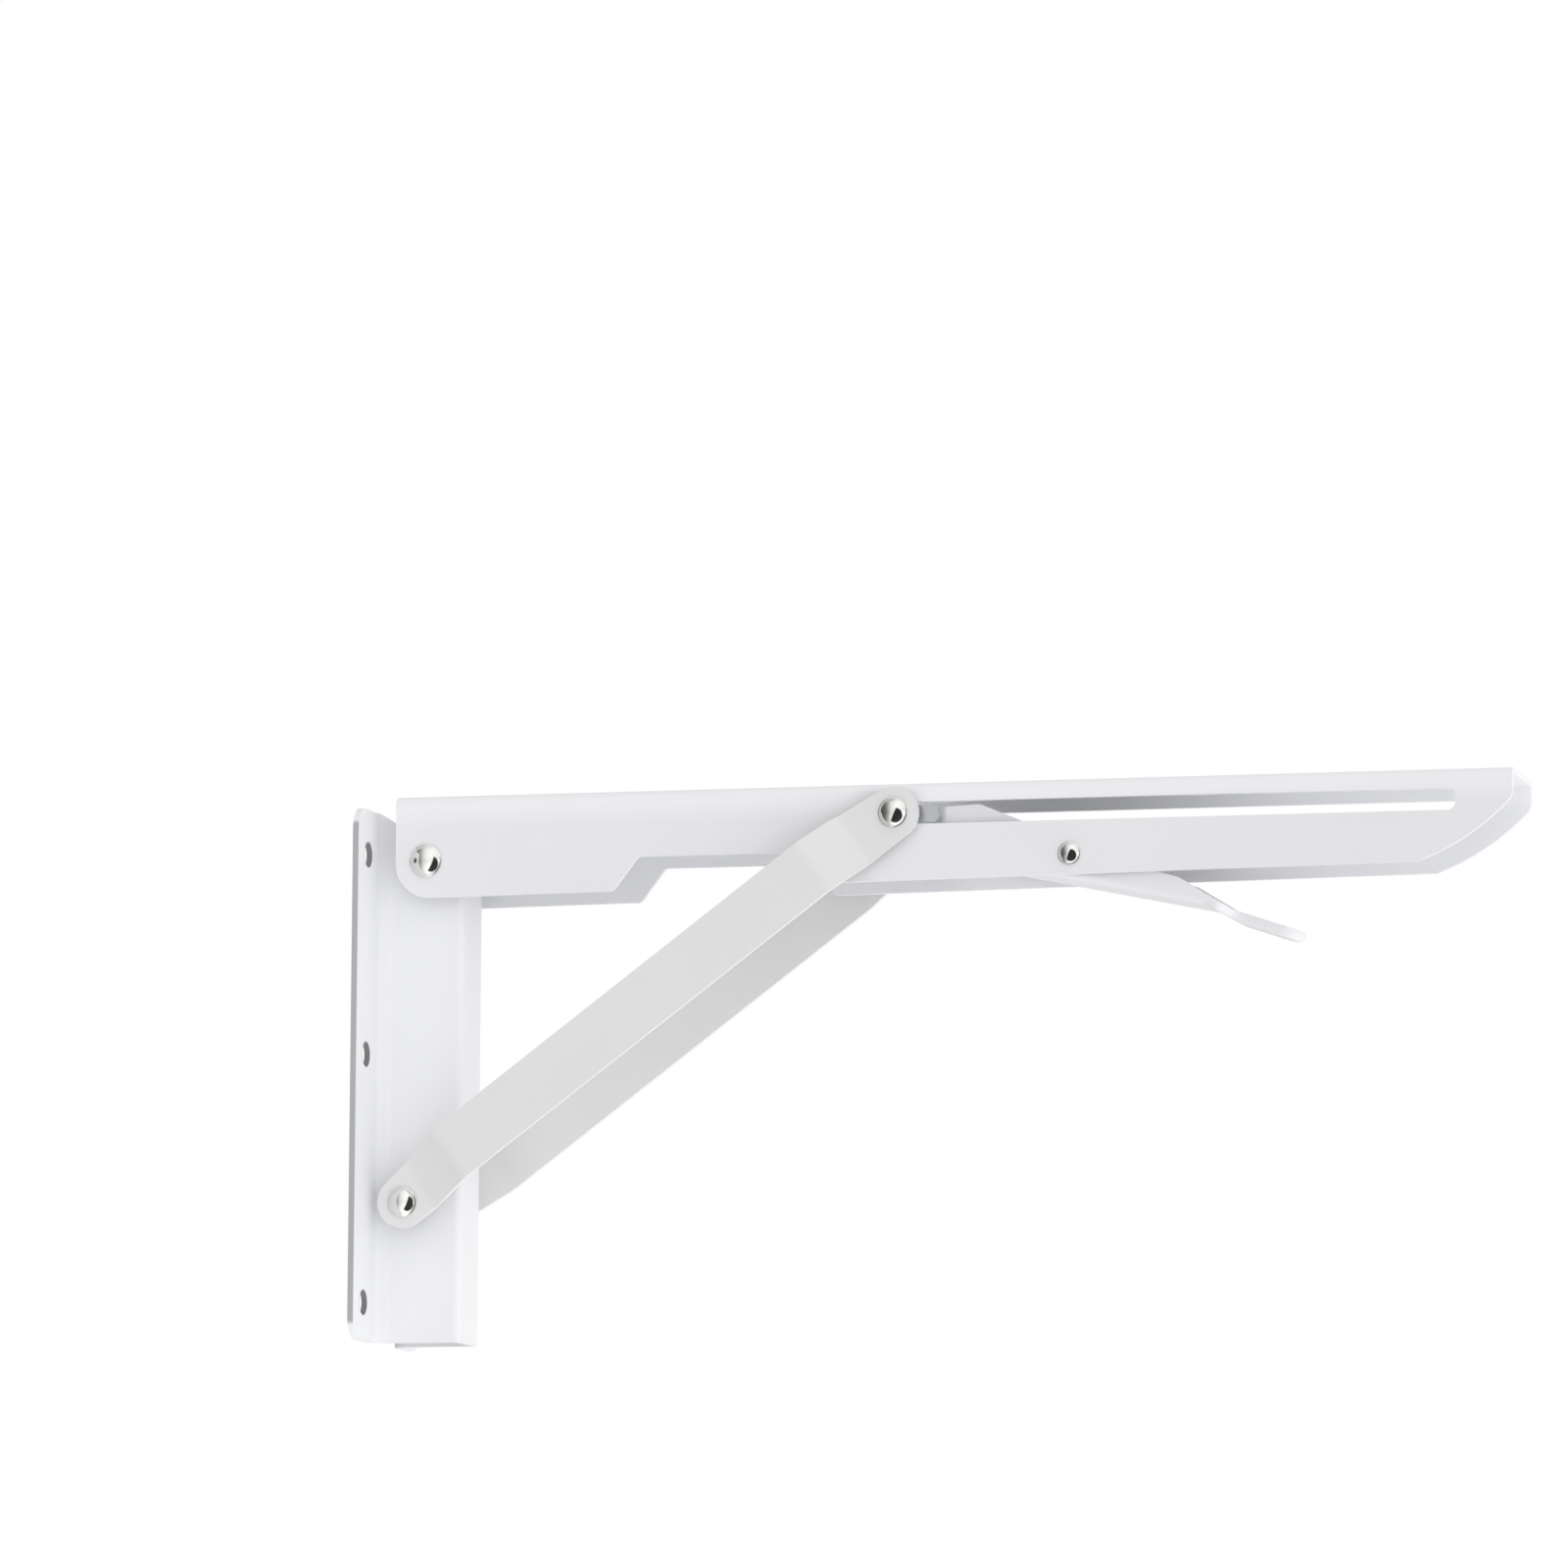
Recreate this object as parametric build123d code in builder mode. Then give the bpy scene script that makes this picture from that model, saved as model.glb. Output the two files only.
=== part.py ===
from build123d import *
import os
from math import asin, atan2, cos, degrees, hypot, radians, sin, sqrt, tan

# Folding shelf bracket of pressed steel, shown open with its arm level.
# The origin lies on the wall face at the centre of the four outer screw holes.
# +X points out from the wall, +Y across to the far side and +Z up.
# Lengths are in millimetres. Near means the side at negative Y.

# Wall plate, one folded sheet with a flange on each side of a channel
plate_sheet = 1.5
plate_width = 60.0
channel_width = 18.0
channel_depth = 24.3
channel_corner = 1.7
flange_bend = 4.0
flange_corner = 6.0
hole_columns = 42.0
hole_rows = 118.5
middle_hole_drop = 53.0
screw_hole = 6.4
top_margin = 12.0
bottom_margin = 10.0
channel_top_drop = 3.4
channel_top_start = 1.7
channel_top_end = 6.9
channel_top_rounding = 4.0

# Pivots, given from the wall face and from the top row of screw holes
arm_pivot_out = 15.4
arm_pivot_drop = 1.25
brace_pivot_out = 10.4
brace_pivot_drop = 90.6

# Arm, a channel that is open below
arm_sheet = 1.5
arm_width = 29.0
arm_length = 300.0
arm_overhang = 8.4
arm_rise = 17.3
arm_rear_depth = 9.9
arm_tip_depth = 6.3
arm_corner = 2.2
arm_rear_rounding = 9.4
arm_tip_back = 25.0
arm_tip_face = 7.6
arm_tip_bow = 1.8
arm_tip_shoulder = 4.0
notch_start = 51.5
notch_flat_start = 58.3
notch_flat_end = 98.0
notch_end = 104.8
notch_roof_drop = 0.2
notch_rounding = 1.6

# Slot in each arm wall and the block that slides in it
slot_rise = 9.4
slot_height = 5.8
slot_corner = 2.2
slot_spare = 8.7
slide_start = 128.5
slide_rise = 9.1
block_length = 23.0
block_height = 4.4
block_end_gap = 0.15
block_corner = 1.7
washer_radius = 4.4

# Shelf screw holes in the top of the arm
shelf_hole = 5.2
shelf_hole_first = 28.0
shelf_hole_pitch = 80.0
shelf_hole_tip_margin = 24.0

# Brace, one plate on each side with an ear at each end
brace_sheet = 1.5
brace_width = 45.0
brace_above = 8.8
brace_below = 3.7
ear_radius = 6.8
lower_ear_length = 7.0
upper_ear_length = 12.8
joggle_run = 12.0
joggle_bend = 6.5
ear_blend = 15.0
lip_width = 4.7
lip_bend = 3.0
lip_relief = 1.0
lip_inset = 4.0

# Release lever, a small channel with a finger tab
lever_sheet = 1.2
lever_pivot_along = 174.9
lever_pivot_drop = 2.3
lever_reach = 35.2
lever_front_rise = 11.0
lever_peak_share = 0.7
lever_peak_rise = 11.6
lever_foot_share = 0.42
lever_ramp_rise = 7.5
lever_web_drop = 6.4
lever_web_slope = 11.6
lever_web_back = 25.0
lever_shoulder = 35.5
lever_bend_slope = 30.0
lever_bend_run = 7.5
lever_side_height = 4.2
lever_bottom_bend = 2.0
lever_front_corner = 1.5
lever_web_turn = 5.0
lever_collar = 5.6
tab_slope = 18.5
tab_length = 16.5
tab_width = 13.0
tab_height = 3.0
tab_end_rounding = 5.6
lever_neck = 39.5
lever_neck_run = 3.5
lever_neck_rounding = 2.6

# Rivets: shank radius, dome radius and dome height
arm_shank, arm_dome, arm_dome_height = 3.0, 4.4, 2.6
brace_shank, brace_dome, brace_dome_height = 2.5, 4.0, 2.4
slide_shank, slide_dome, slide_dome_height = 2.5, 3.9, 2.5
slide_neck = 1.4
lever_shank, lever_dome, lever_dome_height = 2.0, 3.0, 1.9
dome_rim = 0.5

# Spacers and the sleeve on the lever's rivet
arm_spacer_radius = 5.6
brace_spacer_radius = 4.2
sleeve_wall = 0.9

# Spring of the lever, coiled round the sleeve
spring_wire = 0.9
spring_pitch = 1.1
spring_turns = 3
spring_room = 0.5
spring_hook_along = 12.0
spring_hook_rise = 6.6
spring_hook_depth = 14.2
spring_hook_bend = 1.2
spring_hole = 1.2
lever_leg_angle = 14.4
lever_leg = 16.0

# Clearances
running_gap = 0.05
face_gap = 0.05
side_gap = 0.15
lever_side_gap = 0.9
lower_ear_gap = 0.3
upper_ear_gap = 2.3

# Cutting shapes stand this far past the metal
past = 1.0

os.makedirs("parts", exist_ok=True)

# Places that follow from the sizes above
top_row = hole_rows / 2
plate_top = top_row + top_margin
plate_bottom = -top_row - bottom_margin
channel_half = channel_width / 2
arm_half = arm_width / 2
arm_inner = arm_half - arm_sheet
brace_half = brace_width / 2
brace_inner = brace_half - brace_sheet
lower_ear_inner = arm_half + lower_ear_gap
upper_ear_inner = arm_half + upper_ear_gap
arm_pivot_height = top_row - arm_pivot_drop
brace_pivot_height = arm_pivot_height - brace_pivot_drop

# Sketch plane at the arm pivot: local x along the arm, y up, z towards the near side
arm_plane = Plane(origin=(arm_pivot_out, 0, arm_pivot_height), x_dir=(1, 0, 0), z_dir=(0, -1, 0))

# The brace runs from its pivot on the wall plate to the block in the slot
brace_run = arm_pivot_out + slide_start - brace_pivot_out
brace_climb = brace_pivot_drop + slide_rise
brace_reach = hypot(brace_run, brace_climb)
brace_angle = atan2(brace_climb, brace_run)
brace_along = (cos(brace_angle), 0, sin(brace_angle))
brace_up = (-sin(brace_angle), 0, cos(brace_angle))
brace_origin = (brace_pivot_out, 0, brace_pivot_height)
brace_plane = Plane(origin=brace_origin, x_dir=brace_along, z_dir=(0, -1, 0))
brace_edge_plane = Plane(origin=brace_origin, x_dir=brace_along, z_dir=brace_up)

# With the arm folded down, the block has slid out to this distance from the arm pivot
folded_offset = arm_pivot_out + slide_rise - brace_pivot_out
slide_end = brace_pivot_drop + sqrt(brace_reach**2 - folded_offset**2)
slot_left = slide_start - block_length / 2 - block_end_gap
slot_right = slide_end + block_length / 2 + slot_spare


def draw_dome(plane, start, radius, height):
    """Add a domed rivet head that sits on the far side, its flat at the start distance."""
    crown = start + height
    rim = start + dome_rim
    turning_plane = Plane(origin=plane.origin, x_dir=plane.x_dir, z_dir=(0, 0, 1))
    with BuildSketch(turning_plane) as half_outline:
        with BuildLine():
            Polyline((0, crown), (0, start), (radius, start), (radius, rim))
            TangentArc((0, crown), (radius, rim), tangent=(1, 0))
        make_face()
    revolve(half_outline.sketch, axis=Axis(plane.origin, (0, 1, 0)))


def draw_rivet(plane, shank, dome, height, reach):
    """Draw a rivet with a shank through both sides and a dome on each end."""
    with BuildSketch(plane) as round_shank:
        Circle(shank)
    extrude(round_shank.sketch, amount=reach, both=True)
    draw_dome(plane, reach, dome, height)
    mirror(about=Plane.XZ)


def draw_tube(plane, bore, radius, start, end):
    """Draw a plain tube between two distances towards the near side."""
    with BuildSketch(plane.offset(start)) as tube_end:
        Circle(radius)
        Circle(bore, mode=Mode.SUBTRACT)
    extrude(tube_end.sketch, amount=end - start)


# Wall plate
with BuildPart() as wall_plate:
    with BuildSketch(Plane.XY.offset(plate_bottom)):
        with BuildLine():
            FilletPolyline(
                (plate_sheet, -plate_width / 2),
                (plate_sheet, -channel_half),
                (channel_depth, -channel_half),
                (channel_depth, channel_half),
                (plate_sheet, channel_half),
                (plate_sheet, plate_width / 2),
                radius=[flange_bend, channel_corner, channel_corner, flange_bend],
            )
            offset(amount=plate_sheet, side=Side.LEFT)
        make_face()
    extrude(amount=plate_top - plate_bottom)
    # The channel stops lower than the flanges, with a rounded front corner
    channel_top = plate_top - channel_top_drop
    top_corner = channel_top - 2 * channel_top_rounding
    with BuildSketch(Plane.XZ):
        with BuildLine():
            FilletPolyline(
                (channel_top_start, plate_top + past),
                (channel_top_start, plate_top),
                (channel_top_end, channel_top),
                (channel_depth, channel_top),
                (channel_depth, top_corner),
                radius=[0.5, 2.5, channel_top_rounding],
            )
            Polyline(
                (channel_depth, top_corner),
                (channel_depth + past, top_corner),
                (channel_depth + past, plate_top + past),
                (channel_top_start, plate_top + past),
            )
        make_face()
    extrude(amount=channel_width, both=True, mode=Mode.SUBTRACT)
    flange_edges = wall_plate.edges().filter_by(Axis.X)
    fillet(
        flange_edges.group_by(Axis.Y)[0] + flange_edges.group_by(Axis.Y)[-1],
        radius=flange_corner,
    )
    with BuildSketch(Plane.YZ):
        with Locations((0, top_row), (0, -top_row), (0, top_row - middle_hole_drop)):
            with GridLocations(hole_columns, 0, 2, 1):
                Circle(screw_hole / 2)
    extrude(amount=plate_sheet, mode=Mode.SUBTRACT)
    with BuildSketch(arm_plane):
        Circle(arm_shank + running_gap)
        with Locations((brace_pivot_out - arm_pivot_out, -brace_pivot_drop)):
            Circle(brace_shank + running_gap)
    extrude(amount=channel_half, both=True, mode=Mode.SUBTRACT)

# Support arm
arm_front = arm_length - arm_overhang
arm_taper = (arm_rear_depth - arm_tip_depth) / arm_length
tip_drop = arm_rise - arm_tip_face
tip_corner = arm_front - arm_tip_back


def arm_edge(along):
    """Height of the arm's open edge at a distance from the arm pivot."""
    return -arm_rear_depth + arm_taper * (along + arm_overhang)


with BuildPart() as support_arm:
    with BuildSketch(Plane.YZ.offset(arm_pivot_out - arm_overhang)):
        deep = arm_pivot_height - arm_rear_depth - past
        high = arm_pivot_height + arm_rise
        with BuildLine():
            FilletPolyline(
                (-arm_half, deep),
                (-arm_half, high),
                (arm_half, high),
                (arm_half, deep),
                radius=arm_corner,
            )
            offset(amount=arm_sheet, side=Side.RIGHT)
        make_face()
    extrude(amount=arm_length)
    # Side outline with the rounded heel, the notch over the brace pivot and the cut-back tip
    with BuildSketch(arm_plane) as arm_outline:
        with BuildLine():
            heel = FilletPolyline(
                (-arm_overhang, arm_rise),
                (-arm_overhang, arm_edge(-arm_overhang)),
                (notch_start, arm_edge(notch_start)),
                (notch_flat_start, -notch_roof_drop),
                (notch_flat_end, -notch_roof_drop),
                (notch_end, arm_edge(notch_end)),
                (tip_corner, arm_edge(tip_corner)),
                radius=[arm_rear_rounding] + 4 * [notch_rounding],
            )
            bow = SagittaArc(heel @ 1, (arm_front, tip_drop), -arm_tip_bow)
            Polyline(bow @ 1, (arm_front, arm_rise), heel @ 0)
        make_face()
        fillet(arm_outline.vertices().sort_by_distance(bow @ 1)[0], radius=arm_tip_shoulder)
    extrude(amount=arm_half, both=True, mode=Mode.INTERSECT)
    slot_length = slot_right - slot_left
    with BuildSketch(arm_plane):
        with Locations((slot_left + slot_length / 2, slot_rise)):
            RectangleRounded(slot_length, slot_height, slot_corner)
        Circle(arm_shank + running_gap)
        with Locations((lever_pivot_along, -lever_pivot_drop)):
            Circle(lever_shank + running_gap)
    extrude(amount=arm_half, both=True, mode=Mode.SUBTRACT)
    # Small hole in the far wall that holds the end of the lever's spring
    with BuildSketch(arm_plane):
        with Locations((lever_pivot_along + spring_hook_along, spring_hook_rise - lever_pivot_drop)):
            Circle(spring_hole / 2)
    extrude(amount=-arm_half, mode=Mode.SUBTRACT)
    shelf_screws = [shelf_hole_first, shelf_hole_first + shelf_hole_pitch, arm_front - shelf_hole_tip_margin]
    with BuildSketch(Plane.XY.offset(arm_pivot_height + arm_rise)):
        with Locations(*[(arm_pivot_out + along, 0) for along in shelf_screws]):
            Circle(shelf_hole / 2)
    extrude(amount=-arm_sheet, mode=Mode.SUBTRACT)

# Brace plates
lip_from = lower_ear_length + joggle_run + lip_inset
lip_to = brace_reach - upper_ear_length - joggle_run - lip_inset
lip_shoulder = brace_above - lip_bend

with BuildPart() as brace_plate_near:
    with BuildSketch(brace_edge_plane.offset(-ear_radius)):
        with BuildLine():
            FilletPolyline(
                (-ear_radius - past, -lower_ear_inner),
                (lower_ear_length, -lower_ear_inner),
                (lower_ear_length + joggle_run, -brace_inner),
                (brace_reach - upper_ear_length - joggle_run, -brace_inner),
                (brace_reach - upper_ear_length, -upper_ear_inner),
                (brace_reach + ear_radius + past, -upper_ear_inner),
                radius=joggle_bend,
            )
            offset(amount=brace_sheet, side=Side.RIGHT)
        make_face()
    extrude(amount=ear_radius + brace_above)
    with BuildSketch(brace_plane):
        with BuildLine():
            CenterArc((0, 0), ear_radius, 0, 360)
            Line((ear_blend, -brace_below), (ear_blend, brace_above))
        make_hull()
        with BuildLine():
            CenterArc((brace_reach, 0), ear_radius, 0, 360)
            Line((brace_reach - ear_blend, -brace_below), (brace_reach - ear_blend, brace_above))
        make_hull()
        with BuildLine():
            Polyline(
                (ear_blend, -brace_below),
                (brace_reach - ear_blend, -brace_below),
                (brace_reach - ear_blend, brace_above),
                (lip_to + lip_relief, brace_above),
                (lip_to + lip_relief, lip_shoulder),
                (lip_from - lip_relief, lip_shoulder),
                (lip_from - lip_relief, brace_above),
                (ear_blend, brace_above),
                close=True,
            )
        make_face()
    extrude(amount=brace_half, mode=Mode.INTERSECT)
    # Stiffening lip turned in along the upper edge
    lip_origin = brace_plane.from_local_coords(Vector(lip_from, 0, 0))
    with BuildSketch(Plane(origin=lip_origin, x_dir=(0, 1, 0), z_dir=brace_along)):
        with BuildLine():
            FilletPolyline(
                (-brace_half, lip_shoulder - past),
                (-brace_half, brace_above),
                (-brace_half + lip_width, brace_above),
                radius=lip_bend,
            )
            offset(amount=brace_sheet, side=Side.RIGHT)
        make_face()
    extrude(amount=lip_to - lip_from)
    with BuildSketch(brace_plane):
        with Locations((0, 0), (brace_reach, 0)):
            Circle(brace_shank + running_gap)
    extrude(amount=brace_half, mode=Mode.SUBTRACT)

with BuildPart() as brace_plate_far:
    mirror(brace_plate_near.part, about=Plane.XZ)

# Rivet and spacers of the arm pivot
arm_rivet_reach = arm_half + face_gap
arm_bore = arm_shank + running_gap

with BuildPart() as arm_pivot_rivet:
    draw_rivet(arm_plane, arm_shank, arm_dome, arm_dome_height, arm_rivet_reach)

with BuildPart() as arm_pivot_spacer_near:
    draw_tube(arm_plane, arm_bore, arm_spacer_radius, channel_half + face_gap, arm_inner - face_gap)

with BuildPart() as arm_pivot_spacer_far:
    mirror(arm_pivot_spacer_near.part, about=Plane.XZ)

# Rivet and spacers of the lower brace pivot
brace_bore = brace_shank + running_gap
brace_rivet_reach = lower_ear_inner + brace_sheet + face_gap

with BuildPart() as brace_pivot_rivet:
    draw_rivet(brace_plane, brace_shank, brace_dome, brace_dome_height, brace_rivet_reach)

with BuildPart() as brace_pivot_spacer_near:
    brace_spacer_end = lower_ear_inner - face_gap
    draw_tube(brace_plane, brace_bore, brace_spacer_radius, channel_half + face_gap, brace_spacer_end)

with BuildPart() as brace_pivot_spacer_far:
    mirror(brace_pivot_spacer_near.part, about=Plane.XZ)

# Slide blocks with their washers and pins, and the domed ends on the upper ears
slide_plane = Plane(
    origin=(arm_pivot_out + slide_start, 0, arm_pivot_height + slide_rise),
    x_dir=(1, 0, 0),
    z_dir=(0, -1, 0),
)
block_inner = arm_inner - side_gap
block_outer = arm_half - face_gap
washer_inner = arm_half + side_gap
pin_end = upper_ear_inner - face_gap
slide_bore = slide_shank + running_gap

with BuildPart() as slide_block_near:
    with BuildSketch(slide_plane.offset(block_inner)):
        RectangleRounded(block_length, block_height, block_corner)
        Circle(slide_neck + running_gap, mode=Mode.SUBTRACT)
    extrude(amount=block_outer - block_inner)

with BuildPart() as slide_block_far:
    mirror(slide_block_near.part, about=Plane.XZ)

with BuildPart() as slide_washer_near:
    draw_tube(slide_plane, slide_bore, washer_radius, washer_inner, pin_end)

with BuildPart() as slide_washer_far:
    mirror(slide_washer_near.part, about=Plane.XZ)

with BuildPart() as slide_pin_near:
    with BuildSketch(slide_plane.offset(block_inner)):
        Circle(slide_neck)
    extrude(amount=arm_half - block_inner)
    with BuildSketch(slide_plane.offset(arm_half)):
        Circle(slide_shank)
    extrude(amount=pin_end - arm_half)

with BuildPart() as slide_pin_far:
    mirror(slide_pin_near.part, about=Plane.XZ)

with BuildPart() as slide_rivet_far:
    with BuildSketch(slide_plane.offset(-upper_ear_inner - brace_sheet - face_gap)):
        Circle(slide_shank)
    extrude(amount=brace_sheet + face_gap)
    draw_dome(slide_plane, upper_ear_inner + brace_sheet + face_gap, slide_dome, slide_dome_height)

with BuildPart() as slide_rivet_near:
    mirror(slide_rivet_far.part, about=Plane.XZ)

# Rivet and sleeve of the release lever
lever_plane = Plane(
    origin=(arm_pivot_out + lever_pivot_along, 0, arm_pivot_height - lever_pivot_drop),
    x_dir=(1, 0, 0),
    z_dir=(0, -1, 0),
)
lever_half = arm_inner - lever_side_gap
lever_inner = lever_half - lever_sheet
lever_bore = lever_shank + running_gap
sleeve_radius = lever_bore + sleeve_wall

with BuildPart() as lever_rivet:
    draw_rivet(lever_plane, lever_shank, lever_dome, lever_dome_height, arm_half + face_gap)

with BuildPart() as lever_sleeve:
    draw_tube(lever_plane, lever_bore, sleeve_radius, face_gap - lever_inner, lever_inner - face_gap)

# Release lever, pressed as a tray that is open above and at its front
web_tilt = tan(radians(lever_web_slope))
web_drop = lever_web_drop / cos(radians(lever_web_slope))
web_rise = lever_sheet / cos(radians(lever_web_slope))


def web_height(along):
    """Height of the web's underside, from the lever's pivot, at a distance from it."""
    return -web_drop - web_tilt * along


front = -lever_reach
shoulder_end = lever_shoulder + lever_bend_run
shoulder_low = web_height(lever_shoulder) - lever_bend_run * tan(radians(lever_bend_slope))
tab_end = shoulder_end + tab_length
tab_fall = tan(radians(tab_slope))
tab_low = shoulder_low - tab_length * tab_fall
lever_depth = 60.0
lever_top = Plane(origin=lever_plane.origin + Vector(0, 0, lever_depth / 2), x_dir=(1, 0, 0), z_dir=(0, 0, 1))


def underside_rim(builder):
    """Edges that run round the underside of a tray, leaving out those across its web."""
    faces = builder.faces().filter_by(lambda face: face.normal_at().Z < -0.7)
    edges = [edge for face in faces for edge in face.edges()]
    centres = [edge.center() for edge in edges]
    rim = []
    for edge, centre in zip(edges, centres):
        shared = sum(1 for other in centres if (other - centre).length < 1e-4)
        if shared == 1 and centre.X > builder.part.bounding_box().min.X + 0.01:
            rim.append(edge)
    return rim


# Seen from above: full width, then a neck and the rounded finger tab
with BuildSketch(lever_top) as lever_plan:
    with BuildLine():
        outline = FilletPolyline(
            (front - past, -lever_half),
            (lever_neck, -lever_half),
            (lever_neck + lever_neck_run, -tab_width / 2),
            (tab_end, -tab_width / 2),
            (tab_end, tab_width / 2),
            (lever_neck + lever_neck_run, tab_width / 2),
            (lever_neck, lever_half),
            (front - past, lever_half),
            radius=[
                lever_neck_rounding,
                lever_neck_rounding,
                tab_end_rounding,
                tab_end_rounding,
                lever_neck_rounding,
                lever_neck_rounding,
            ],
        )
        Line(outline @ 1, outline @ 0)
    make_face()

with BuildPart() as lever_hollow:
    with BuildSketch(lever_plane):
        with BuildLine():
            floor = FilletPolyline(
                (front - past, web_height(front - past) + web_rise),
                (lever_shoulder, web_height(lever_shoulder) + web_rise),
                (shoulder_end, shoulder_low + web_rise),
                (tab_end, tab_low + web_rise),
                radius=lever_web_turn,
            )
            Polyline(floor @ 1, (tab_end, lever_depth / 2), (front - past, lever_depth / 2), floor @ 0)
        make_face()
    extrude(amount=lever_half, both=True)
    with BuildSketch(lever_top):
        offset(lever_plan.sketch_local, amount=-lever_sheet)
        with Locations((front - past, 0)):
            Rectangle(4 * past, 2 * lever_inner)
    extrude(amount=-lever_depth, mode=Mode.INTERSECT)
    fillet(underside_rim(lever_hollow), radius=lever_bottom_bend - lever_sheet)

with BuildPart() as release_lever:
    with BuildSketch(lever_plane):
        with BuildLine():
            under = FilletPolyline(
                (front, lever_front_rise + lever_pivot_drop),
                (front, web_height(front)),
                (lever_shoulder, web_height(lever_shoulder)),
                (shoulder_end, shoulder_low),
                (tab_end + past, tab_low - past * tab_fall),
                radius=[lever_front_corner, lever_web_turn, lever_web_turn],
            )
            over = FilletPolyline(
                under @ 1,
                (tab_end + past, tab_low - past * tab_fall + tab_height),
                (shoulder_end - 1.0, shoulder_low + tab_height + 0.3),
                (lever_shoulder - 7.0, web_height(lever_shoulder - 7.0) + lever_side_height + 1.6),
                (lever_web_back - 5.0, web_height(lever_web_back - 5.0) + lever_side_height + 2.2),
                (lever_collar, lever_collar - 0.6),
                (-lever_collar, lever_collar + 0.2),
                (front * lever_foot_share, lever_ramp_rise + lever_pivot_drop),
                (front * lever_peak_share, lever_peak_rise + lever_pivot_drop),
                under @ 0,
                radius=[0.3, 6.0, 4.0, 4.0, 3.0, 3.0, 4.0, 3.0],
            )
        make_face()
    extrude(amount=lever_half, both=True)
    extrude(lever_plan.sketch, amount=-lever_depth, mode=Mode.INTERSECT)
    fillet(underside_rim(release_lever), radius=lever_bottom_bend)
    add(lever_hollow.part, mode=Mode.SUBTRACT)
    with BuildSketch(lever_plane):
        Circle(lever_bore)
    extrude(amount=lever_half, both=True, mode=Mode.SUBTRACT)

# Torsion spring round the sleeve, one leg hooked into the arm's far wall and one on the lever's web
coil_radius = sleeve_radius + spring_room + spring_wire / 2
hook_reach = hypot(spring_hook_along, spring_hook_rise)
hook_angle = degrees(atan2(spring_hook_rise, spring_hook_along) - asin(coil_radius / hook_reach))
arm_leg = sqrt(hook_reach**2 - coil_radius**2)
arm_leg_start = 90 + hook_angle
lever_leg_end = -90 - lever_leg_angle + 360 * spring_turns
coil_turns = (lever_leg_end - arm_leg_start) / 360
coil_length = coil_turns * spring_pitch
coil_start = radians(arm_leg_start)
coil_plane = Plane(
    origin=lever_plane.offset(-coil_length / 2).origin,
    x_dir=(cos(coil_start), 0, sin(coil_start)),
    z_dir=(0, -1, 0),
)

with BuildLine() as spring_line:
    coil = Helix(pitch=spring_pitch, height=coil_length, radius=coil_radius)
    corner = coil @ 0 - (coil % 0) * arm_leg
    hook = FilletPolyline(
        corner - Vector(0, 0, spring_hook_depth - coil_length / 2),
        corner,
        coil @ 0,
        radius=spring_hook_bend,
    )
    lever_end = Line(coil @ 1, coil @ 1 + (coil % 1) * lever_leg)
spring_path = coil_plane.from_local_coords(Wire([*hook.edges(), coil.edge(), lever_end.edge()]))

with BuildPart() as lever_spring:
    with BuildSketch(Plane(origin=spring_path @ 0, z_dir=spring_path % 0)):
        Circle(spring_wire / 2)
    sweep(path=spring_path)

# Labels and files of the finished pieces
wall_plate.part.label = "wall_plate"
export_step(wall_plate.part, "parts/wall_plate.step")

arm_pivot_rivet.part.label = "arm_pivot_rivet"
export_step(arm_pivot_rivet.part, "parts/arm_pivot_rivet.step")

arm_pivot_spacer_near.part.label = "arm_pivot_spacer_near"
export_step(arm_pivot_spacer_near.part, "parts/arm_pivot_spacer_near.step")

arm_pivot_spacer_far.part.label = "arm_pivot_spacer_far"
export_step(arm_pivot_spacer_far.part, "parts/arm_pivot_spacer_far.step")

brace_pivot_rivet.part.label = "brace_pivot_rivet"
export_step(brace_pivot_rivet.part, "parts/brace_pivot_rivet.step")

brace_pivot_spacer_near.part.label = "brace_pivot_spacer_near"
export_step(brace_pivot_spacer_near.part, "parts/brace_pivot_spacer_near.step")

brace_pivot_spacer_far.part.label = "brace_pivot_spacer_far"
export_step(brace_pivot_spacer_far.part, "parts/brace_pivot_spacer_far.step")

support_arm.part.label = "support_arm"
export_step(support_arm.part, "parts/support_arm.step")

lever_rivet.part.label = "lever_rivet"
export_step(lever_rivet.part, "parts/lever_rivet.step")

lever_sleeve.part.label = "lever_sleeve"
export_step(lever_sleeve.part, "parts/lever_sleeve.step")

lever_spring.part.label = "lever_spring"
export_step(lever_spring.part, "parts/lever_spring.step")

release_lever.part.label = "release_lever"
export_step(release_lever.part, "parts/release_lever.step")

brace_plate_near.part.label = "brace_plate_near"
export_step(brace_plate_near.part, "parts/brace_plate_near.step")

brace_plate_far.part.label = "brace_plate_far"
export_step(brace_plate_far.part, "parts/brace_plate_far.step")

slide_rivet_near.part.label = "slide_rivet_near"
export_step(slide_rivet_near.part, "parts/slide_rivet_near.step")

slide_rivet_far.part.label = "slide_rivet_far"
export_step(slide_rivet_far.part, "parts/slide_rivet_far.step")

slide_block_near.part.label = "slide_block_near"
export_step(slide_block_near.part, "parts/slide_block_near.step")

slide_block_far.part.label = "slide_block_far"
export_step(slide_block_far.part, "parts/slide_block_far.step")

slide_washer_near.part.label = "slide_washer_near"
export_step(slide_washer_near.part, "parts/slide_washer_near.step")

slide_washer_far.part.label = "slide_washer_far"
export_step(slide_washer_far.part, "parts/slide_washer_far.step")

slide_pin_near.part.label = "slide_pin_near"
export_step(slide_pin_near.part, "parts/slide_pin_near.step")

slide_pin_far.part.label = "slide_pin_far"
export_step(slide_pin_far.part, "parts/slide_pin_far.step")
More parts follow.
